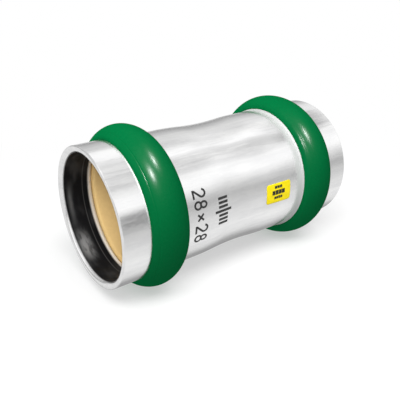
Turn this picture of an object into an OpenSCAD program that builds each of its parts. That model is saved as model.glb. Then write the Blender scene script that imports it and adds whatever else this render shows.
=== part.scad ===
// Straight press coupling for thin-walled pipe, standing on one end.
// A formed steel sleeve has a bead near each end that holds a rubber seal,
// and a waist halfway that stops the pipes. A plastic ring over each bead
// shows whether the joint has been pressed.

/* [Pipe and sockets] */
// Outside diameter of the pipe that both sockets take
pipe_d = 28; // [22:0.5:35]
// Radial gap between the pipe and the straight wall behind the bead
socket_gap = 0.2; // [0.1:0.05:0.3]
// Radial gap between the pipe and the lead-in collar before the bead
collar_gap = 0.6; // [0.4:0.05:1.2]
// Depth of a socket, from the mouth to where the waist begins
socket_depth = 20.9; // [20:0.1:30]

/* [Steel sleeve] */
// Thickness of the sheet that the sleeve is formed from
wall = 1.6; // [1.4:0.1:2]
// Length of the waist between the two sockets
waist_length = 24; // [16:1:30]
// How much the waist is drawn in on the radius
waist_depth = 0.5; // [0.3:0.05:1]
// Distance from the mouth to the middle of the bead
bead_from_end = 10.9; // [10:0.1:13]
// Radius of the outer fillet where the bead meets the collar and the barrel
bead_fillet = 0.9; // [0.6:0.1:1.4]
// Rounding of the mouth's inner edge, which spares the seal
mouth_inner_round = 1; // [0.3:0.05:1.2]
// Rounding of the mouth's outer edge
mouth_outer_round = 0.3; // [0.1:0.05:0.5]

/* [Seals] */
// Radial thickness of a seal
seal_height = 2.92; // [2.6:0.01:3.4]
// Width of a seal along the axis
seal_width = 5.5; // [4.8:0.1:5.8]
// How far a seal reaches inside the pipe's surface
seal_bite = 0.02; // [0:0.01:0.04]
// Gap between a seal and the floor of its groove
seal_seat = 0.05; // [0.02:0.01:0.1]
// Room in the groove on each side of a seal
groove_play = 0.5; // [0.3:0.05:0.8]
// Rounding of the two edges of a seal's inner face
seal_corner = 0.6; // [0.4:0.05:0.9]

/* [Indicator rings] */
// Thickness of a ring at its crest
ring_thickness = 0.4; // [0.3:0.05:0.7]
// How much thicker a ring is on its flanks than at its crest
ring_flank = 0.3; // [0.1:0.05:0.5]
// Reach of a ring from the bead's middle towards the mouth
ring_to_mouth = 4.5; // [4:0.05:4.8]
// Reach of a ring from the bead's middle towards the waist
ring_to_waist = 4; // [3.9:0.05:4.8]
// Gap between a ring and the steel under it
ring_seat = 0.05; // [0.02:0.01:0.1]
// Distance from a ring's middle to the fine groove on each flank
ring_groove_from_middle = 3.5; // [3:0.1:3.7]
// Radius of that fine groove
ring_groove_round = 0.12; // [0.08:0.01:0.2]

/* [Hidden] */
$fa = 3;
$fs = 0.2;

// How far cutting shapes run past what they cut
past = 1;
// How far a blend dips into the faces that it joins, so that they cross and don't only touch
blend_dip = 0.001;

pipe_r = pipe_d / 2;
total_length = 2 * socket_depth + waist_length;
lower_bead_z = bead_from_end;
upper_bead_z = total_length - bead_from_end;

// Outer radii of the collar and the barrel
collar_r = pipe_r + collar_gap + wall;
barrel_r = pipe_r + socket_gap + wall;

// The seal stands on the groove's floor, and the bead's wall is wrapped around the groove
seal_inner_r = pipe_r - seal_bite;
seal_outer_r = seal_inner_r + seal_height;
groove_arc_r = seal_width / 2 + groove_play;
bead_arc_r = groove_arc_r + wall;
bead_crest_r = seal_outer_r + seal_seat + wall;
bead_middle = [bead_crest_r - bead_arc_r, bead_from_end];

// Each flank of the waist is a shoulder arc and half of the hollow's arc, of one radius.
// They meet halfway down, where the curve turns from one to the other.
waist_run = waist_length / 4;
waist_arc_r = (pow(waist_run, 2) + pow(waist_depth / 2, 2)) / waist_depth;
shoulder_middle = [barrel_r - waist_arc_r, socket_depth];
hollow_middle = [barrel_r - waist_depth + waist_arc_r, total_length / 2];

// The ring's outer arc has the bead's shape, a little fuller on the flanks
ring_crest_r = bead_crest_r + ring_seat + ring_thickness;
ring_arc_r = bead_arc_r + ring_seat + ring_thickness + ring_flank;
ring_centre_r = ring_crest_r - ring_arc_r;
ring_groove_r = ring_centre_r + sqrt(pow(ring_arc_r, 2) - pow(ring_groove_from_middle, 2));

// Middle of the fillet between the bead and a cylinder of radius r,
// on the mouth's side of the bead (-1) or the waist's side (+1)
function fillet_middle(r, side) =
    let (rise = r + bead_fillet - bead_middle[0])
    bead_middle + [rise, side * sqrt(pow(bead_arc_r + bead_fillet, 2) - pow(rise, 2))];
collar_fillet = fillet_middle(collar_r, -1);
barrel_fillet = fillet_middle(barrel_r, 1);

// Place on the axis that lies in line with two points
function on_axis(p, q) = p + (q - p) * p[0] / (p[0] - q[0]);

// The same shape at both ends of the sleeve
module at_both_ends() {
    children();
    translate([0, total_length]) mirror([0, 1]) children();
}

// Area between a concave arc and the shapes that it blends.
// The toes lie inside those shapes and are given anticlockwise around the arc's middle.
module blend(middle, arc_r, first_toe, second_toe) {
    difference() {
        polygon([middle, first_toe, second_toe]);
        translate(middle) circle(r = arc_r + blend_dip);
    }
}

// Area between the axis and a skin at a depth under the steel's outer face, for one socket.
// The skin runs past the mouth by the reach given.
module socket_area(depth, reach) {
    translate([0, -reach]) square([collar_r - depth, bead_from_end + reach]);
    translate([0, bead_from_end]) square([barrel_r - depth, socket_depth - bead_from_end]);
    translate(bead_middle) circle(r = bead_arc_r - depth);
    blend(collar_fillet, bead_fillet + depth, bead_middle, [bead_middle[0], collar_fillet[1]]);
    blend(barrel_fillet, bead_fillet + depth, [bead_middle[0], barrel_fillet[1]], bead_middle);
    intersection() {
        translate(shoulder_middle) circle(r = waist_arc_r - depth + blend_dip);
        translate([0, socket_depth - waist_run]) square([barrel_r + past, 3 * waist_run]);
    }
}

// Area between the axis and that skin, from end to end
module sleeve_area(depth, reach) {
    toe = on_axis(hollow_middle, shoulder_middle);
    at_both_ends() socket_area(depth, reach);
    blend(hollow_middle, waist_arc_r + depth, [0, total_length - toe[1]], toe);
}

// Corner of a square of the size given, less the circle that rounds it.
// The corner lies at the origin, with the square on its negative radius and positive height.
module corner_round(r) {
    difference() {
        translate([-r, -past]) square([r + past, r + past]);
        translate([-r, r]) circle(r = r);
    }
}

// Steel sleeve of one wall thickness throughout
module sleeve() {
    color("silver")
        rotate_extrude()
            difference() {
                sleeve_area(0, 0);
                sleeve_area(wall, past);
                at_both_ends() {
                    translate([collar_r, 0]) corner_round(mouth_outer_round);
                    translate([collar_r - wall, 0]) mirror([1, 0]) corner_round(mouth_inner_round);
                }
            }
}

// Seal with a flat face towards the pipe, rounded inner edges and a back that follows the groove's floor
module seal(z) {
    color("burlywood")
        rotate_extrude()
            intersection() {
                union() {
                    translate([seal_inner_r + seal_corner, z - seal_width / 2])
                        square([seal_height, seal_width]);
                    translate([seal_inner_r, z - seal_width / 2 + seal_corner])
                        square([seal_height, seal_width - 2 * seal_corner]);
                    for (end = [-1, 1])
                        translate([seal_inner_r + seal_corner, z + end * (seal_width / 2 - seal_corner)])
                            circle(r = seal_corner);
                }
                translate([bead_middle[0], z]) circle(r = groove_arc_r - seal_seat);
            }
}

// Thin ring moulded over the bead at a height, with a fine groove on each flank.
// The mouth lies below (-1) or above (+1) it.
module indicator_ring(z, mouth) {
    foot = mouth < 0 ? ring_to_mouth : ring_to_waist;
    color("seagreen")
        rotate_extrude()
            difference() {
                intersection() {
                    translate([ring_centre_r, z]) circle(r = ring_arc_r);
                    translate([0, z - foot]) square([ring_crest_r + past, ring_to_mouth + ring_to_waist]);
                }
                sleeve_area(-ring_seat, past);
                for (flank = [-1, 1])
                    translate([ring_groove_r, z + flank * ring_groove_from_middle])
                        circle(r = ring_groove_round);
            }
}

module lower_seal() { seal(lower_bead_z); }
module upper_seal() { seal(upper_bead_z); }
module lower_indicator_ring() { indicator_ring(lower_bead_z, -1); }
module upper_indicator_ring() { indicator_ring(upper_bead_z, 1); }

sleeve();
lower_seal();
upper_seal();
lower_indicator_ring();
upper_indicator_ring();
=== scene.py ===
"""Looks of a straight press coupling: a satin steel sleeve, two tan seals and two glossy green rings.

The part stands on its lower mouth in the frame. The photograph shows it lying on its rings, so the pale ground
is a plane that touches the rings on their +Y side, and the camera is level with that ground.
Shapes are worked out in millimetres, and go into the meshes in the frame's metres.
"""

import bpy
import numpy as np
from mathutils import Matrix, Vector


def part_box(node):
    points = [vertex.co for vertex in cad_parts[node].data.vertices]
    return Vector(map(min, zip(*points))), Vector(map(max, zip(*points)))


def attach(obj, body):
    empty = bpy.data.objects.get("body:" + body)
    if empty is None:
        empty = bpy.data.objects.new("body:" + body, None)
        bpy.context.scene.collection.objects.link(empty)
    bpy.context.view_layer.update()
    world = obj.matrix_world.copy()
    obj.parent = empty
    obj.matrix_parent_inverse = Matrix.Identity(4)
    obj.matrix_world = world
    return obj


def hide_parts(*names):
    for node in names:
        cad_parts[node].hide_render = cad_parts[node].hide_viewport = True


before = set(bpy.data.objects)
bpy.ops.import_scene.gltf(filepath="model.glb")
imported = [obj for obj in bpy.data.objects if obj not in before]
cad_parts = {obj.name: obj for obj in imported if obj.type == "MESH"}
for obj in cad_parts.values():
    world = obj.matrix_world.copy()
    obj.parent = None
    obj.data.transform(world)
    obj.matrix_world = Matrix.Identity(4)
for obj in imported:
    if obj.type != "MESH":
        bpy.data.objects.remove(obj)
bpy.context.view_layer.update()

MM = 0.001

# How much further the shown rings reach towards the waist than the solid ones
RING_EXTRA_REACH = 0.3

# Places along the axis, read from the frame
sleeve_low, sleeve_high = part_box("sleeve")
ring_low, ring_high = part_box("lower_indicator_ring")
seal_low, seal_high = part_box("lower_seal")
LENGTH = (sleeve_high.z - sleeve_low.z) / MM
BEAD_FROM_END = (seal_high.z + seal_low.z) / 2 / MM
SEAL_WIDTH = (seal_high.z - seal_low.z) / MM
RING_TO_MOUTH = BEAD_FROM_END - ring_low.z / MM
RING_TO_WAIST = ring_high.z / MM - BEAD_FROM_END + RING_EXTRA_REACH

# Steel sleeve
PIPE_R = 14.0
WALL = 1.6
COLLAR_R = PIPE_R + 0.6 + WALL
BARREL_R = PIPE_R + 0.2 + WALL
SOCKET_DEPTH = 20.9
WAIST_DEPTH = 0.5
BEAD_FILLET = 0.9
MOUTH_INNER_ROUND = 1.0
MOUTH_OUTER_ROUND = 0.3

# Seals
SEAL_INNER_R = PIPE_R - 0.02
SEAL_HEIGHT = 2.92
SEAL_SEAT = 0.05
SEAL_CORNER = 0.6
GROOVE_PLAY = 0.5

# Indicator rings
RING_SEAT = 0.05
RING_THICKNESS = 0.4
RING_FLANK = 0.3
RING_GROOVE_FROM_MIDDLE = 3.5
RING_GROOVE_DEPTH = 0.06
RING_WAIST_GROOVE_DEPTH = 0.015
RING_GROOVE_WIDTH = 0.1
RING_MOUTH_ROUND = 0.35
RING_WAIST_ROUND = 0.5
RING_SHOWN_SEAT = 0.01

# Centres and radii of the arcs, as (radius, height) in the lower half
GROOVE_ARC = SEAL_WIDTH / 2 + GROOVE_PLAY
BEAD_ARC = GROOVE_ARC + WALL
BEAD_CREST = SEAL_INNER_R + SEAL_HEIGHT + SEAL_SEAT + WALL
BEAD_MIDDLE = np.array([BEAD_CREST - BEAD_ARC, BEAD_FROM_END])
WAIST_RUN = (LENGTH / 2 - SOCKET_DEPTH) / 2
WAIST_ARC = (WAIST_RUN**2 + (WAIST_DEPTH / 2) ** 2) / WAIST_DEPTH
SHOULDER_MIDDLE = np.array([BARREL_R - WAIST_ARC, SOCKET_DEPTH])
HOLLOW_MIDDLE = np.array([BARREL_R - WAIST_DEPTH + WAIST_ARC, LENGTH / 2])
RING_CREST = BEAD_CREST + RING_SEAT + RING_THICKNESS
RING_ARC = BEAD_ARC + RING_SEAT + RING_THICKNESS + RING_FLANK

# Steps around the axis, and the spacing of points on a profile
TURN_STEPS = 160
FINE_STEP = 0.25


def fillet_middle(cylinder_r, side):
    """Centre of the fillet between the bead and a cylinder: a fillet's radius outside both of them."""
    rise = cylinder_r + BEAD_FILLET - BEAD_MIDDLE[0]
    reach = np.sqrt((BEAD_ARC + BEAD_FILLET) ** 2 - rise**2)
    return BEAD_MIDDLE + [rise, side * reach]


COLLAR_FILLET = fillet_middle(COLLAR_R, -1)
BARREL_FILLET = fillet_middle(BARREL_R, 1)


def heading(start, goal):
    """Angle of the way from one point of a profile to another, from the outward radius towards the upper mouth."""
    way = np.asarray(goal) - np.asarray(start)
    return np.arctan2(way[1], way[0])


def arc(centre, radius, start, stop, step=FINE_STEP):
    """Points of a circle about the centre at even angles, without the last one, where the next arc begins."""
    count = max(6, int(np.ceil(abs(stop - start) * radius / step)))
    angle = np.linspace(start, stop, count + 1)[:-1]
    return np.stack([centre[0] + radius * np.cos(angle), centre[1] + radius * np.sin(angle)], 1)


def straight(start, goal, count=8):
    """Even points from start to goal, without the last one."""
    share = np.linspace(0, 1, count + 1)[:-1, None]
    return np.asarray(start) * (1 - share) + np.asarray(goal) * share


def bead_skin(depth):
    """The bead and its two fillets at a depth under the outer face.

    Each is an arc about its own centre. The arcs meet on the lines between the centres, so another depth
    only changes their radii.
    """
    from_collar, to_barrel = heading(BEAD_MIDDLE, COLLAR_FILLET), heading(BEAD_MIDDLE, BARREL_FILLET)
    return np.concatenate([
        arc(COLLAR_FILLET, BEAD_FILLET + depth, np.pi, heading(COLLAR_FILLET, BEAD_MIDDLE), 0.12),
        arc(BEAD_MIDDLE, BEAD_ARC - depth, from_collar, to_barrel),
        arc(BARREL_FILLET, BEAD_FILLET + depth, heading(BARREL_FILLET, BEAD_MIDDLE), -np.pi, 0.12),
    ])


def waist_skin(depth):
    """Half of the waist at a depth: a shoulder arc that turns halfway down into the hollow's arc."""
    turn = heading(SHOULDER_MIDDLE, HOLLOW_MIDDLE)
    return np.concatenate([
        arc(SHOULDER_MIDDLE, WAIST_ARC - depth, 0, turn, 0.5),
        arc(HOLLOW_MIDDLE, WAIST_ARC + depth, turn - np.pi, -np.pi, 0.5),
        [[BARREL_R - WAIST_DEPTH - depth, LENGTH / 2]],
    ])


def socket_skin(depth, mouth):
    """The sleeve's skin from the lower mouth's rounded edge to halfway up, at a depth under the outer face."""
    collar_foot = [COLLAR_R - depth, COLLAR_FILLET[1]]
    barrel_foot = [BARREL_R - depth, BARREL_FILLET[1]]
    return np.concatenate([
        mouth,
        straight(mouth[-1] + [0, 0.02], collar_foot, 14),
        bead_skin(depth),
        straight(barrel_foot, [BARREL_R - depth, SOCKET_DEPTH], 10),
        waist_skin(depth),
    ])


def both_ends(half):
    """The lower half of a profile and its mirror image above it, joined halfway up."""
    return np.concatenate([half, (half * [1, -1] + [0, LENGTH])[-2::-1]])


def sleeve_profile():
    """Outer skin upwards, then the inner skin, one wall thickness under it, downwards.

    Both edges of a mouth are round.
    """
    outer_middle = [COLLAR_R - MOUTH_OUTER_ROUND, MOUTH_OUTER_ROUND]
    inner_middle = [COLLAR_R - WALL + MOUTH_INNER_ROUND, MOUTH_INNER_ROUND]
    outer_edge = arc(outer_middle, MOUTH_OUTER_ROUND, -np.pi / 2, 0, 0.06)
    inner_edge = arc(inner_middle, MOUTH_INNER_ROUND, -np.pi / 2, -np.pi, 0.06)
    outer = both_ends(socket_skin(0, outer_edge))
    inner = both_ends(socket_skin(WALL, inner_edge))
    return np.concatenate([outer, inner[::-1]])


def quarter_round(away, radius):
    """How far a rounded edge lies under its full height, at a distance from the edge: a quarter of a circle."""
    return radius - np.sqrt(radius**2 - np.clip(radius - away, 0, radius) ** 2)


def ring_profile():
    """The lower ring: an outer arc a little fuller than the bead, and an inner face that follows the steel.

    The arc is lowered by a bell-shaped notch on each flank, fainter on the waist's side, and by a quarter round
    at each end.
    """
    off = np.linspace(-RING_TO_MOUTH, RING_TO_WAIST, 240)
    radius = RING_CREST - RING_ARC + np.sqrt(RING_ARC**2 - off**2)
    notch = np.exp(-(((np.abs(off) - RING_GROOVE_FROM_MIDDLE) / RING_GROOVE_WIDTH) ** 2))
    radius -= np.where(off < 0, RING_GROOVE_DEPTH, RING_WAIST_GROOVE_DEPTH) * notch
    radius -= quarter_round(off + RING_TO_MOUTH, RING_MOUTH_ROUND)
    radius -= quarter_round(RING_TO_WAIST - off, RING_WAIST_ROUND)
    outer = np.stack([radius, BEAD_FROM_END + off], 1)
    steel = bead_skin(-RING_SHOWN_SEAT)
    low, high = outer[0, 1], outer[-1, 1]
    under = steel[(steel[:, 1] > low + 0.02) & (steel[:, 1] < high - 0.02)][::-1]
    upper_face = straight(outer[-1], [np.interp(high, steel[:, 1], steel[:, 0]), high], 5)[1:]
    lower_face = straight([np.interp(low, steel[:, 1], steel[:, 0]), low], outer[0], 5)
    return np.concatenate([outer, upper_face, under, lower_face])


def seal_profile():
    """Flat face towards the pipe, two rounded edges, flat sides, and a back arc just inside the groove."""
    half = SEAL_WIDTH / 2
    back_r = GROOVE_ARC - SEAL_SEAT
    back_end = np.arcsin(half / back_r)
    corner_middle = [SEAL_INNER_R + SEAL_CORNER, BEAD_FROM_END + half - SEAL_CORNER]
    back_corner = [BEAD_MIDDLE[0] + back_r * np.cos(back_end), BEAD_FROM_END + half]
    upper_side = np.concatenate([
        arc(corner_middle, SEAL_CORNER, -np.pi, -1.5 * np.pi, 0.08),
        straight([corner_middle[0], BEAD_FROM_END + half], back_corner, 5),
    ])
    back = arc(BEAD_MIDDLE, back_r, back_end, -back_end, 0.2)
    lower_side = (upper_side * [1, -1] + [0, 2 * BEAD_FROM_END])[::-1]
    face = straight(lower_side[-1], upper_side[0], 8)[1:]
    return np.concatenate([face, upper_side, back, lower_side])


def upper_copy(profile):
    """The same profile at the upper end: its mirror image, taken backwards to keep its faces outwards."""
    return (profile * [1, -1] + [0, LENGTH])[::-1]


def barrel_radius(z):
    """Outer radius of the straight wall and the waist at a height, from the two arcs of the waist."""
    away = np.abs(np.asarray(z, float) - LENGTH / 2)
    hollow = HOLLOW_MIDDLE[0] - np.sqrt(WAIST_ARC**2 - np.minimum(away, WAIST_RUN) ** 2)
    down = np.clip(LENGTH / 2 - SOCKET_DEPTH - away, 0, WAIST_RUN)
    shoulder = SHOULDER_MIDDLE[0] + np.sqrt(WAIST_ARC**2 - down**2)
    return np.where(away < WAIST_RUN, hollow, shoulder)


def mesh_piece(name, points, faces, material):
    """A smooth-shaded object at the origin from points in millimetres and faces as rows of corner numbers."""
    mesh = bpy.data.meshes.new(name)
    mesh.from_pydata((points * MM).tolist(), [], faces)
    mesh.polygons.foreach_set("use_smooth", np.ones(len(mesh.polygons), bool))
    mesh.materials.append(material)
    mesh.update()
    piece = bpy.data.objects.new(name, mesh)
    bpy.context.scene.collection.objects.link(piece)
    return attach(piece, "root")


def grid_faces(rows, columns, close_rows):
    """Corner numbers of the quads of a grid whose columns run round, and whose rows do too where asked."""
    row, column = np.meshgrid(np.arange(rows if close_rows else rows - 1), np.arange(columns), indexing="ij")
    next_row, next_column = (row + 1) % rows, (column + 1) % columns
    quads = np.stack([row * columns + column, row * columns + next_column,
                      next_row * columns + next_column, next_row * columns + column], -1)
    return quads.reshape(-1, 4)


def turned_piece(name, profile, material):
    """Surface of revolution: each point (radius, height) of a closed profile goes once round the axis."""
    angle = np.arange(TURN_STEPS) * 2 * np.pi / TURN_STEPS
    radius, height = profile[:, :1], profile[:, 1:]
    points = np.stack([radius * np.cos(angle), radius * np.sin(angle), height + 0 * angle], -1).reshape(-1, 3)
    return mesh_piece(name, points, grid_faces(len(profile), TURN_STEPS, True).tolist(), material)


def on_barrel(around, along, lift, start_angle, start_z):
    """Wraps flat points on the barrel: 'around' runs down the visible side, 'along' towards the lower mouth."""
    z = start_z - along
    angle = start_angle - around / BARREL_R
    radius = barrel_radius(z) + lift
    return np.stack([radius * np.cos(angle), radius * np.sin(angle), z], -1)


def band(path, half_width, across, lifts, start_angle, start_z, closed=False):
    """A thin closed band on the barrel along a flat path of points (around, along).

    At each point of the path a row runs square to it from side to side at the upper lift, and back at the
    lower one.
    """
    way = np.roll(path, -1, 0) - np.roll(path, 1, 0) if closed else np.gradient(path, axis=0)
    square = np.stack([-way[:, 1], way[:, 0]], 1) / np.linalg.norm(way, axis=1, keepdims=True)
    side = np.linspace(-1, 1, across)
    share = np.concatenate([side, side[::-1]])
    lift = np.repeat(lifts, across)
    flat = path[:, None] + (square * np.reshape(half_width, (-1, 1)))[:, None] * share[:, None]
    points = on_barrel(flat[..., 0], flat[..., 1], lift, start_angle, start_z).reshape(-1, 3)
    faces = grid_faces(len(path), 2 * across, closed).tolist()
    row = np.arange(2 * across)
    caps = [] if closed else [row[::-1].tolist(), (row + 2 * across * (len(path) - 1)).tolist()]
    return points, faces + caps


def joined(name, bands, material):
    """One piece from several bands, whose corner numbers follow on from each other."""
    starts = np.cumsum([0] + [len(points) for points, faces in bands])
    faces = [[int(start + corner) for corner in face]
             for start, (points, rows) in zip(starts, bands) for face in rows]
    return mesh_piece(name, np.concatenate([points for points, rows in bands]), faces, material)


def oval(middle, reach, start, stop, count):
    """Points of an ellipse about a middle between two angles: the reach times the cosine and the sine."""
    angle = np.linspace(start, stop, count)
    return np.asarray(middle) + np.asarray(reach) * np.stack([np.cos(angle), np.sin(angle)], 1)


def line(start, goal, count=9):
    """Even points from start to goal, with both of them."""
    share = np.linspace(0, 1, count)[:, None]
    return np.asarray(start) * (1 - share) + np.asarray(goal) * share


# Node helpers


def new_material(name):
    """A node material, its node tree and its shader."""
    material = bpy.data.materials.new(name)
    material.use_nodes = True
    tree = material.node_tree
    return material, tree, tree.nodes["Principled BSDF"]


def add_node(tree, kind, settings=None, **inputs):
    """Adds a node. Settings are its properties; an input is a plain value or an output socket to link."""
    node = tree.nodes.new(kind)
    for key, value in (settings or {}).items():
        setattr(node, key, value)
    for key, value in inputs.items():
        put(tree, node.inputs[int(key[2:]) if key.startswith("in") else key.replace("_", " ")], value)
    return node


def put(tree, socket, value):
    """Links an output to an input, or sets the input's own value."""
    if isinstance(value, bpy.types.NodeSocket):
        tree.links.new(value, socket)
    else:
        socket.default_value = value


def math(tree, operation, first, second=0.0):
    """One Math node's result."""
    return add_node(tree, "ShaderNodeMath", {"operation": operation}, in0=first, in1=second).outputs[0]


def times(tree, first, *others):
    """Product of values."""
    for other in others:
        first = math(tree, "MULTIPLY", first, other)
    return first


def ranged(tree, value, low, high, out_low, out_high):
    """Value mapped smoothly from one range to another, and held at its ends."""
    node = add_node(tree, "ShaderNodeMapRange", {"interpolation_type": "SMOOTHSTEP"}, Value=value,
                    in1=low, in2=high, in3=out_low, in4=out_high)
    return node.outputs[0]


def bell(tree, value, middle, width):
    """One at the middle, and smoothly down to nothing at a width from it."""
    return ranged(tree, math(tree, "ABSOLUTE", math(tree, "SUBTRACT", value, middle)), 0.0, width, 1.0, 0.0)


def object_noise(tree, scale, detail=3.0, roughness=0.55):
    """Noise on the piece's own coordinates, with so many features per metre along each axis."""
    place = add_node(tree, "ShaderNodeTexCoord").outputs["Object"]
    sized = add_node(tree, "ShaderNodeMapping", Vector=place, Scale=scale).outputs[0]
    noise = add_node(tree, "ShaderNodeTexNoise", Vector=sized, Scale=1.0, Detail=detail, Roughness=roughness)
    return noise.outputs[0]


def blended(tree, factor, first, second):
    """Colour between two colours, each a plain one or an output."""
    node = add_node(tree, "ShaderNodeMix", {"data_type": "RGBA"}, in0=factor)
    put(tree, node.inputs[6], first)
    put(tree, node.inputs[7], second)
    return node.outputs[2]


def tinted(tree, factor, dark, light):
    """Colour between two plain colours."""
    return blended(tree, factor, (*dark, 1), (*light, 1))


def bumped(tree, shader, height, strength, distance):
    """Bump from a height, with its depth in metres."""
    bump = add_node(tree, "ShaderNodeBump", Height=height, Strength=strength, Distance=distance)
    tree.links.new(bump.outputs[0], shader.inputs["Normal"])


# Zones of the steel: distances from a mouth over which each begins or ends
DARK_START = (0.45 * MM, 0.95 * MM)
LIP_START = (6.6 * MM, 7.2 * MM)
LIP_END = (9.0 * MM, 9.4 * MM)
FOLD_START = (14.4 * MM, 14.8 * MM)
SKIRT_END = (15.3 * MM, 15.8 * MM)
FOOT_END = (15.6 * MM, 18.2 * MM)

# Angles around the axis: the side the camera sees best, where the painted highlight, painted shade and painted
# dark reflection band lie outside, and the places of the painted reflection patch and streak in the collar
FACING_ANGLE = -2.3
DARK_BAND_ANGLE = -2.22
REFLECTION_PATCH_ANGLE = 0.92
REFLECTION_STREAK_ANGLE = 0.15

PALE_STEEL = (0.92, 0.92, 0.915, 1)


def satin_steel():
    """Satin stainless steel with streaks along the axis and a fine grain.

    Inside a mouth the collar is painted near-black as shade and dark reflection, with a few paler patches and a
    streak of painted reflection and a fine line around it. Its lip before the seal is pale and dull. Outside, a
    thin pale strip on the collar beside each bead, on the side the camera sees, is a painted highlight. The folds
    on the waist's side of each bead are dull and painted darker grey as shade beside the rings, a little lighter
    at the lower end on that side. A band along that side is darkened in patches as a painted dark reflection, and
    at the lower end the steel past the fold is duller and greyer.
    """
    material, tree, shader = new_material("satin_steel")
    streaks = object_noise(tree, (560, 560, 22), 4.0)
    grain = object_noise(tree, (2600, 2600, 900), 2.0)
    mottle = object_noise(tree, (300, 300, 160), 3.0)
    worn = math(tree, "ADD", times(tree, streaks, 0.5), times(tree, mottle, 0.3))
    worn = math(tree, "ADD", worn, times(tree, grain, 0.2))
    dark_band_noise = ranged(tree, object_noise(tree, (700, 700, 40), 4.0), 0.42, 0.6, 0.0, 0.3)
    satin = tinted(tree, ranged(tree, worn, 0.35, 0.65, 0.0, 1.0), (0.79, 0.79, 0.795), (0.9, 0.9, 0.895))

    place = add_node(tree, "ShaderNodeTexCoord").outputs["Object"]
    x, y, z = add_node(tree, "ShaderNodeSeparateXYZ", Vector=place).outputs
    radius = math(tree, "SQRT", math(tree, "ADD", times(tree, x, x), times(tree, y, y)))
    angle = math(tree, "ARCTAN2", y, x)
    from_middle = math(tree, "ABSOLUTE", math(tree, "SUBTRACT", z, LENGTH / 2 * MM))
    from_mouth = math(tree, "SUBTRACT", LENGTH / 2 * MM, from_middle)
    inside = ranged(tree, radius, (COLLAR_R - 0.9) * MM, (COLLAR_R - 0.6) * MM, 1.0, 0.0)
    outer = math(tree, "SUBTRACT", 1.0, inside)
    lower = ranged(tree, z, 0.4 * LENGTH * MM, 0.6 * LENGTH * MM, 1.0, 0.0)
    facing = bell(tree, angle, FACING_ANGLE, 0.9)

    past_edge = ranged(tree, from_mouth, *DARK_START, 0.0, 1.0)
    before_lip = ranged(tree, from_mouth, *LIP_START, 1.0, 0.0)
    before_seal = ranged(tree, from_mouth, *LIP_END, 1.0, 0.0)
    shaded = times(tree, inside, times(tree, past_edge, before_lip))
    lip = times(tree, times(tree, inside, before_seal), math(tree, "SUBTRACT", 1.0, before_lip))
    # A thin pale strip on the collar beside each bead, only on the side the camera sees: a painted highlight.
    painted_fillet_highlight = times(tree, bell(tree, from_mouth, 6.25 * MM, 0.35 * MM), times(tree, facing, outer))
    past_fold = ranged(tree, from_mouth, *FOLD_START, 0.0, 1.0)
    skirt = times(tree, ranged(tree, from_mouth, *SKIRT_END, 1.0, 0.0), times(tree, past_fold, outer))
    foot = times(tree, past_fold, times(tree, ranged(tree, from_mouth, *FOOT_END, 1.0, 0.0), lower))

    # Painted shade and dark reflection inside the collar: near-black, with a haze, a patch and a streak of painted
    # reflection.
    painted_reflection_haze = ranged(tree, object_noise(tree, (130, 130, 340), 2.0), 0.45, 0.75, 0.0, 1.0)
    uneven = ranged(tree, object_noise(tree, (420, 420, 1300), 3.0), 0.35, 0.6, 0.45, 1.15)
    painted_reflection_patch = times(tree, bell(tree, angle, REFLECTION_PATCH_ANGLE, 0.38), bell(tree, from_mouth, 2.6 * MM, 2.4 * MM))
    streak = times(tree, bell(tree, angle, REFLECTION_STREAK_ANGLE, 0.5), bell(tree, from_mouth, 2.0 * MM, 0.9 * MM))
    painted_reflection_spots = math(tree, "MAXIMUM", times(tree, painted_reflection_patch, uneven), times(tree, streak, 0.35))
    painted_reflection_level = math(tree, "ADD", times(tree, painted_reflection_haze, 0.15), painted_reflection_spots)
    painted_dark_inside = tinted(tree, painted_reflection_level, (0.009, 0.009, 0.01), (0.24, 0.24, 0.24))
    fine_line = times(tree, bell(tree, from_mouth, 5.45 * MM, 0.2 * MM), 0.12)
    dark = blended(tree, fine_line, painted_dark_inside, (0.5, 0.5, 0.5, 1))

    # A band along the side the camera sees, darkened in patches by noise: a painted dark reflection.
    painted_dark_band = times(tree, dark_band_noise, bell(tree, angle, DARK_BAND_ANGLE, 0.34))
    satin = blended(tree, painted_dark_band, satin, (0.5, 0.5, 0.505, 1))
    satin = blended(tree, times(tree, foot, outer), satin, (0.68, 0.68, 0.68, 1))
    # The folds on the waist's side of each bead: painted darker grey as shade beside the rings, a little lighter
    # at the lower end on the side the camera sees.
    painted_fold_shade = tinted(tree, times(tree, facing, lower), (0.55, 0.55, 0.55), (0.64, 0.64, 0.64))
    outside = blended(tree, skirt, blended(tree, math(tree, "MAXIMUM", lip, painted_fillet_highlight), satin, PALE_STEEL), painted_fold_shade)
    put(tree, shader.inputs["Base Color"], blended(tree, shaded, outside, dark))

    uneven_gloss = math(tree, "ADD", times(tree, grain, 0.5), times(tree, streaks, 0.5))
    rough = ranged(tree, uneven_gloss, 0.3, 0.7, 0.17, 0.27)
    pale_dull = math(tree, "MAXIMUM", lip, times(tree, painted_fillet_highlight, 0.6))
    dark_dull = times(tree, math(tree, "MAXIMUM", shaded, skirt), 0.7)
    dull = math(tree, "MAXIMUM", pale_dull, math(tree, "MAXIMUM", dark_dull, times(tree, foot, 0.75)))
    put(tree, shader.inputs["Roughness"], math(tree, "ADD", rough, times(tree, dull, 0.5)))
    put(tree, shader.inputs["Metallic"], math(tree, "SUBTRACT", 1.0, dull))
    shader.inputs["Specular IOR Level"].default_value = 0.1
    bumped(tree, shader, math(tree, "ADD", times(tree, grain, 0.25), streaks), 0.07, 0.02 * MM)
    return material


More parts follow.
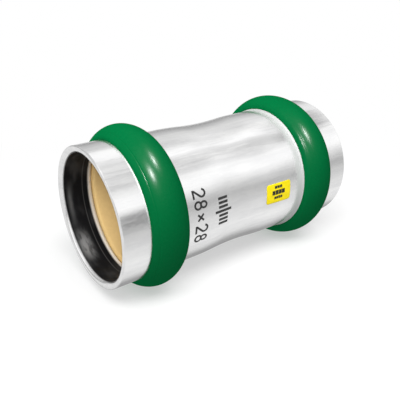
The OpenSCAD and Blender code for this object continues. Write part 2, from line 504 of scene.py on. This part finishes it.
def green_plastic():
    """Glossy green moulded plastic: a slight drift of colour and a faint ripple under a thin glossy coat.

    The coat has a high index and a low weight, so that it gains little at flat angles.
    """
    material, tree, shader = new_material("green_plastic")
    drift = object_noise(tree, (90, 90, 90), 3.0)
    put(tree, shader.inputs["Base Color"], tinted(tree, drift, (0.0, 0.165, 0.045), (0.0, 0.20, 0.055)))
    gloss = ranged(tree, object_noise(tree, (900, 900, 900), 2.0), 0.3, 0.7, 0.265, 0.285)
    put(tree, shader.inputs["Roughness"], gloss)
    put(tree, shader.inputs["Coat Roughness"], gloss)
    shader.inputs["Coat Weight"].default_value = 0.009
    shader.inputs["Coat IOR"].default_value = 4.0
    shader.inputs["Specular IOR Level"].default_value = 0.0
    bumped(tree, shader, object_noise(tree, (60, 60, 60), 0.0), 0.04, 0.03 * MM)
    return material


def tan_rubber():
    """Matte tan rubber with fine speckles."""
    material, tree, shader = new_material("tan_rubber")
    speckle = object_noise(tree, (1500, 1500, 1500), 2.0)
    put(tree, shader.inputs["Base Color"], tinted(tree, speckle, (0.66, 0.45, 0.19), (0.75, 0.53, 0.235)))
    put(tree, shader.inputs["Roughness"], ranged(tree, speckle, 0.3, 0.7, 0.6, 0.75))
    shader.inputs["Specular IOR Level"].default_value = 0.2
    bumped(tree, shader, speckle, 0.2, 0.03 * MM)
    return material


def printed(name, dark, light, roughness, scale):
    """A flat coat of colour with a fine unevenness in tone and gloss."""
    material, tree, shader = new_material(name)
    uneven = object_noise(tree, (scale, scale, scale), 3.0)
    put(tree, shader.inputs["Base Color"], tinted(tree, ranged(tree, uneven, 0.35, 0.65, 0.0, 1.0), dark, light))
    put(tree, shader.inputs["Roughness"], ranged(tree, uneven, 0.3, 0.7, roughness - 0.06, roughness + 0.06))
    shader.inputs["Specular IOR Level"].default_value = 0.25
    return material


# Pieces that stand for the CAD nodes, in finer meshes

STEEL = satin_steel()
GREEN = green_plastic()
RUBBER = tan_rubber()

sleeve = turned_piece("satin_sleeve", sleeve_profile(), STEEL)
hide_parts("sleeve")

rings, seals = {}, {}
for end, place in (("lower", lambda profile: profile), ("upper", upper_copy)):
    rings[end] = turned_piece(f"{end}_green_ring", place(ring_profile()), GREEN)
    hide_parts(f"{end}_indicator_ring")
    seals[end] = turned_piece(f"{end}_tan_seal", place(seal_profile()), RUBBER)
    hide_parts(f"{end}_seal")

# Yellow label with plain bars, and marks etched into the barrel

LABEL_ANGLE = np.radians(182.65)
LABEL_Z = 23.57
LABEL_LONG = 7.45
LABEL_WIDE = 4.96
LABEL_ROUND = 0.55
LABEL_LIFTS = (0.06, 0.004)
BAR_LIFTS = (0.075, 0.061)
MARK_ANGLE = np.radians(206.5)
MARK_Z = 48.3
MARK_STROKE = 0.23
MARK_LIFTS = (0.02, 0.004)
TICK_ANGLE = np.radians(183.3)
TICK_Z = 40.55
TICK_STROKE = 0.3
TICK_REACHES = (1.3, 1.3, 1.3, 2.3, 1.3, 1.3, 1.3)


def label_band():
    """The label: a straight band along the axis, narrowed at its ends by quarter rounds that round the corners."""
    along = np.linspace(-LABEL_LONG / 2, LABEL_LONG / 2, 61)
    half_width = LABEL_WIDE / 2 - quarter_round(LABEL_LONG / 2 - np.abs(along), LABEL_ROUND)
    return band(np.stack([0 * along, along], 1), half_width, 16, LABEL_LIFTS, LABEL_ANGLE, LABEL_Z)


def label_bar(around, start, goal, height):
    """A plain bar on the label, from one place along it to another."""
    path = line([around, start], [around, goal], 12)
    return band(path, np.full(12, height / 2), 4, BAR_LIFTS, LABEL_ANGLE, LABEL_Z)


def mark(path, half_width=MARK_STROKE, closed=False):
    """A stroke of the etched marks, from a path (around, along) that starts at the first digit's foot."""
    return band(path, np.full(len(path), half_width), 3, MARK_LIFTS, MARK_ANGLE, MARK_Z, closed)


def digit_two(left):
    """Two strokes: a bow over the top that runs down into a slant, and a foot."""
    bow = oval([left + 0.95, 2.4], [0.8, 0.82], np.radians(168), np.radians(-38), 22)
    slant = line(bow[-1], [left + 0.2, 0.42], 10)[1:]
    return [mark(np.concatenate([bow, slant])), mark(line([left, 0.24], [left + 1.95, 0.24], 8))]


def digit_eight(left):
    """Two closed loops, the lower one a little larger."""
    upper = oval([left + 0.98, 2.45], [0.66, 0.76], 0, 2 * np.pi, 33)[:-1]
    lower = oval([left + 0.98, 1.0], [0.8, 0.79], 0, 2 * np.pi, 33)[:-1]
    return [mark(upper, closed=True), mark(lower, closed=True)]


def cross(left):
    """Two slanting strokes of one length."""
    return [mark(line([left, 0.7], [left + 1.5, 2.2])), mark(line([left, 2.2], [left + 1.5, 0.7]))]


def tick_marks():
    """A plain scale: straight ticks along the axis, spaced evenly around the barrel, the middle one longer."""
    places = np.linspace(-3.0, 3.0, len(TICK_REACHES))
    paths = [line([place, -reach], [place, reach], 11) for place, reach in zip(places, TICK_REACHES)]
    return [band(path, np.full(11, TICK_STROKE), 3, MARK_LIFTS, TICK_ANGLE, TICK_Z) for path in paths]


YELLOW = printed("label_yellow", (0.93, 0.75, 0.003), (1.0, 0.82, 0.008), 0.45, 900)
BLACK = printed("label_black", (0.012, 0.012, 0.01), (0.03, 0.03, 0.02), 0.5, 1500)
ETCHED = printed("etched_grey", (0.05, 0.05, 0.051), (0.11, 0.11, 0.11), 0.55, 2500)

label = joined("yellow_label", [label_band()], YELLOW)
bars = joined("label_bars", [
    *[label_bar(-1.55, start, start + 0.7, 0.68) for start in (-1.35, -0.55, 0.25)],
    *[label_bar(-0.2, start, start + 0.9, 1.1) for start in (-2.1, -1.1, -0.1, 0.9)],
    *[label_bar(1.1, start, start + 0.56, 0.68) for start in (-1.45, -0.8, -0.15, 0.5)],
], BLACK)
joined("etched_marks", [
    *digit_two(0.0), *digit_eight(2.5), *cross(5.5), *digit_two(8.1), *digit_eight(10.6), *tick_marks(),
], ETCHED)

# Ground, light and camera

GROUND_SIZE = 4000.0
CAMERA_PLACE = Vector((-91.311, -49.319, 103.290))
CAMERA_AIM = Vector((-0.419, 3.632, 35.764))
PHOTO_UP = Vector((0, -1, 0))
CAMERA_LENS = 44.576
GLINT_AWAY = 150.0
LAMP_AIM = (0, 0, 33)
MOUTH_AIM = (6, 2, 60)


def turn_towards(place, aim, level=PHOTO_UP):
    """World matrix of a camera or lamp that looks from its place at its aim, with its own X square to 'level'."""
    back = (place - aim).normalized()
    right = level.cross(back).normalized()
    up = back.cross(right)
    turn = Matrix((right, up, back)).transposed().to_4x4()
    return Matrix.Translation(place * MM) @ turn


def level_ramp(tree, value, low, high, stops):
    """Grey level from a value, by straight lines between stops (value, level).

    The ramp holds half of each level, since its colours end at one.
    """
    node = add_node(tree, "ShaderNodeValToRGB")
    put(tree, node.inputs["Fac"], add_node(tree, "ShaderNodeMapRange", Value=value, in1=low, in2=high).outputs[0])
    ramp = node.color_ramp
    for stop, level in stops[1:-1]:
        ramp.elements.new((stop - low) / (high - low))
    for element, (stop, level) in zip(ramp.elements, stops):
        element.position = (stop - low) / (high - low)
        element.color = (level / 2, level / 2, level / 2, 1)
    return times(tree, node.outputs["Color"], 2.0)


def white_ground():
    """White ground that keeps the shadow near the object and is pure white far from it.

    Shiny faces see it in bands beside the object, matte faces see it dimmer, and it can't be seen from below.
    """
    material, tree, shader = new_material("white_ground")
    tree.nodes.remove(shader)
    place = add_node(tree, "ShaderNodeTexCoord").outputs["Object"]
    x, y, z = add_node(tree, "ShaderNodeSeparateXYZ", Vector=place).outputs
    path = add_node(tree, "ShaderNodeLightPath")
    shiny, matte = path.outputs["Is Glossy Ray"], path.outputs["Is Diffuse Ray"]
    mirrored = level_ramp(tree, x, -0.2, 0.1, (
        (-0.2, 0.52), (-0.145, 0.55), (-0.055, 0.75), (-0.029, 0.88), (-0.02, 0.96), (-0.0136, 0.79),
        (-0.009, 0.36), (0.01, 0.36), (0.022, 0.80), (0.1, 0.78)))
    before = ranged(tree, z, (LENGTH - 4) * MM, (LENGTH + 6) * MM, 0.0, 1.0)
    mirrored = math(tree, "ADD", mirrored, times(tree, before, math(tree, "SUBTRACT", 0.84, mirrored)))
    level = math(tree, "ADD", times(tree, shiny, math(tree, "SUBTRACT", mirrored, 1.0)), 1.0)
    level = math(tree, "SUBTRACT", level, times(tree, matte, 0.6))
    bright = add_node(tree, "ShaderNodeEmission", Color=(1, 1, 1, 1), Strength=level)
    lit = add_node(tree, "ShaderNodeBsdfDiffuse", Color=(0.95, 0.95, 0.95, 1))
    away = add_node(tree, "ShaderNodeVectorMath", {"operation": "DISTANCE"}, in0=place,
                    in1=(0, RING_CREST * MM, LENGTH / 2 * MM)).outputs["Value"]
    far = ranged(tree, away, 60 * MM, 120 * MM, 0.45, 1.0)
    share = math(tree, "MAXIMUM", far, math(tree, "MAXIMUM", shiny, matte))
    seen = add_node(tree, "ShaderNodeMixShader", in0=share, in1=lit.outputs[0], in2=bright.outputs[0])
    clear = add_node(tree, "ShaderNodeBsdfTransparent")
    behind = add_node(tree, "ShaderNodeNewGeometry").outputs["Backfacing"]
    both = add_node(tree, "ShaderNodeMixShader", in0=behind, in1=seen.outputs[0], in2=clear.outputs[0])
    tree.links.new(both.outputs[0], tree.nodes["Material Output"].inputs["Surface"])
    return material


def stage_sheet(name, corners, material):
    """A flat four-cornered sheet that belongs to the stage."""
    mesh = bpy.data.meshes.new(name)
    mesh.from_pydata((np.array(corners) * MM).tolist(), [], [[0, 1, 2, 3]])
    mesh.materials.append(material)
    sheet = bpy.data.objects.new(name, mesh)
    bpy.context.scene.collection.objects.link(sheet)
    return sheet


def ground_plane():
    """A square in the plane that touches both rings, facing the camera's side."""
    side = GROUND_SIZE / 2
    return stage_sheet("ground", [[-side, RING_CREST, -side], [side, RING_CREST, -side],
                                  [side, RING_CREST, side], [-side, RING_CREST, side]], white_ground())


def mirrored_card(name, corners, strength):
    """A small sheet near the object that is only seen mirrored in the steel, with a brightness of its own."""
    material, tree, shader = new_material(name)
    tree.nodes.remove(shader)
    glow = add_node(tree, "ShaderNodeEmission", Color=(1, 1, 1, 1), Strength=strength)
    tree.links.new(glow.outputs[0], tree.nodes["Material Output"].inputs["Surface"])
    card = stage_sheet(name, corners, material)
    card.visible_camera = card.visible_diffuse = card.visible_shadow = card.visible_transmission = False


def level_card(name, height, x, z, strength):
    """A mirrored card that lies level over the object, between two places along x and two along z."""
    corners = [[x[0], -height, z[0]], [x[1], -height, z[0]], [x[1], -height, z[1]], [x[0], -height, z[1]]]
    mirrored_card(name, corners, strength)


def studio_world():
    """A white studio: white for the camera, softly brighter from above for matte faces, and banded for shiny ones.

    The bands lie level around the object: a dim horizon, a bright wall, a paler ceiling with a strip light, and
    a dimmer far side.
    """
    world = bpy.data.worlds.new("studio")
    world.use_nodes = True
    tree = world.node_tree
    way = add_node(tree, "ShaderNodeTexCoord").outputs["Generated"]
    x, y, z = add_node(tree, "ShaderNodeSeparateXYZ", Vector=way).outputs
    up = times(tree, y, -1.0)
    bands = level_ramp(tree, up, -1.0, 1.0, (
        (-1.0, 0.8), (-0.2, 0.52), (0.0, 0.51), (0.15, 0.70), (0.42, 1.24), (0.62, 1.18), (0.77, 0.79),
        (1.0, 0.86)))
    far_side = ranged(tree, x, 0.2, 0.8, 1.0, 0.58)
    strip = times(tree, bell(tree, x, 0.1, 0.3), ranged(tree, up, 0.68, 0.8, 0.0, 0.5))
    shiny = times(tree, math(tree, "ADD", bands, strip), far_side)
    matte = times(tree, ranged(tree, up, -0.4, 1.0, 0.32, 0.62), ranged(tree, z, -0.8, 0.6, 0.5, 1.2))
    path = add_node(tree, "ShaderNodeLightPath")
    by_gloss, by_camera = path.outputs["Is Glossy Ray"], path.outputs["Is Camera Ray"]
    level = math(tree, "ADD", matte, times(tree, by_gloss, math(tree, "SUBTRACT", shiny, matte)))
    level = math(tree, "ADD", level, times(tree, by_camera, math(tree, "SUBTRACT", 1.0, level)))
    put(tree, tree.nodes["Background"].inputs["Strength"], level)
    tree.nodes["Background"].inputs["Color"].default_value = (1, 1, 1, 1)
    bpy.context.scene.world = world


def soft_lamp(name, place, aim, size, radiance, shape="SQUARE", size_y=None, level=PHOTO_UP):
    """An area lamp of that radiance: its power is the radiance times pi times its area."""
    data = bpy.data.lights.new(name, "AREA")
    data.shape = shape
    data.size = size * MM
    if size_y:
        data.size_y = size_y * MM
    area = size * (size_y or size) * MM**2 * (np.pi / 4 if shape in ("DISK", "ELLIPSE") else 1)
    data.energy = radiance * np.pi * area
    lamp = bpy.data.objects.new(name, data)
    lamp.matrix_world = turn_towards(Vector(place), Vector(aim), level)
    lamp.visible_camera = False
    bpy.context.scene.collection.objects.link(lamp)
    return lamp


def only_on(lamp, *pieces):
    """Keeps a lamp's light to the pieces given."""
    lit = bpy.data.collections.new(lamp.name)
    for piece in pieces:
        lit.objects.link(piece)
    lamp.light_linking.receiver_collection = lit


def glint_lamp(name, ring, place, way, length, width, radiance):
    """A small lamp that only lights one ring, and stands where a highlight at a place on it is mirrored to.

    Its length is the angle that it fills, seen from that place.
    """
    place, way = Vector(place), Vector(way)
    size = 2 * GLINT_AWAY * np.tan(length / 2)
    lamp = soft_lamp(name, place + way * GLINT_AWAY, place, size, radiance, "ELLIPSE", width, Vector((0, 0, 1)))
    lamp.visible_diffuse = False
    only_on(lamp, ring)


ground = ground_plane()
mirrored_card("front_flag", [[-55, -20, 36], [-55, -2, 36], [-55, -2, 50], [-55, -20, 50]], 0.34)
level_card("front_shade", 45, (-22, 0), (40, 56), 0.85)
level_card("front_glow", 45, (6, 28), (38, 56), 1.2)
level_card("rear_shade", 45, (-26, 12), (-34, -14), 0.5)
studio_world()
key = soft_lamp("key_softbox", (-60, -310, 148), LAMP_AIM, 260, 4.0)
key.visible_glossy = False
only_on(key, sleeve, *rings.values(), label, bars)
ground_key = soft_lamp("ground_key", (-169, -330, 158), LAMP_AIM, 320, 8.0, "RECTANGLE", 150)
only_on(ground_key, ground)
ground_side = soft_lamp("ground_side", (-170, -330, -27), LAMP_AIM, 200, 3.0)
only_on(ground_side, ground)
seal_fill = soft_lamp("seal_fill", (-81, -70, 100), MOUTH_AIM, 60, 22.0)
seal_fill.visible_glossy = False
only_on(seal_fill, seals["upper"])
steel_fill = soft_lamp("steel_fill", (-85, -62, 92), MOUTH_AIM, 60, 9.0)
steel_fill.visible_glossy = False
only_on(steel_fill, sleeve)
label_fill = soft_lamp("label_fill", (-150, -30, 60), (-15, -1, 23), 60, 8.0)
label_fill.visible_glossy = False
only_on(label_fill, label, bars)
glint_lamp("glint_front_high", rings["upper"], (-11.75, -14.87, 55.62), (-0.213, -0.939, -0.270), 0.24, 6, 2600)
glint_lamp("glint_front_low", rings["upper"], (-13.34, -12.84, 57.18), (-0.458, -0.835, 0.305), 0.20, 10, 2200)
glint_lamp("glint_rear_high", rings["lower"], (-13.42, -12.73, 13.22), (-0.559, -0.829, 0.019), 0.30, 6, 2300)
glint_lamp("glint_rear_low", rings["lower"], (-13.54, -11.11, 14.69), (-0.492, -0.611, 0.620), 0.18, 12, 1300)

camera_data = bpy.data.cameras.new("camera")
camera_data.lens = CAMERA_LENS
camera_data.clip_start = 1 * MM
camera_data.clip_end = 10000 * MM
camera = bpy.data.objects.new("camera", camera_data)
camera.matrix_world = turn_towards(CAMERA_PLACE, CAMERA_AIM)
bpy.context.scene.collection.objects.link(camera)
bpy.context.scene.camera = camera
bpy.context.scene.view_settings.view_transform = "Standard"

bpy.context.view_layer.update()
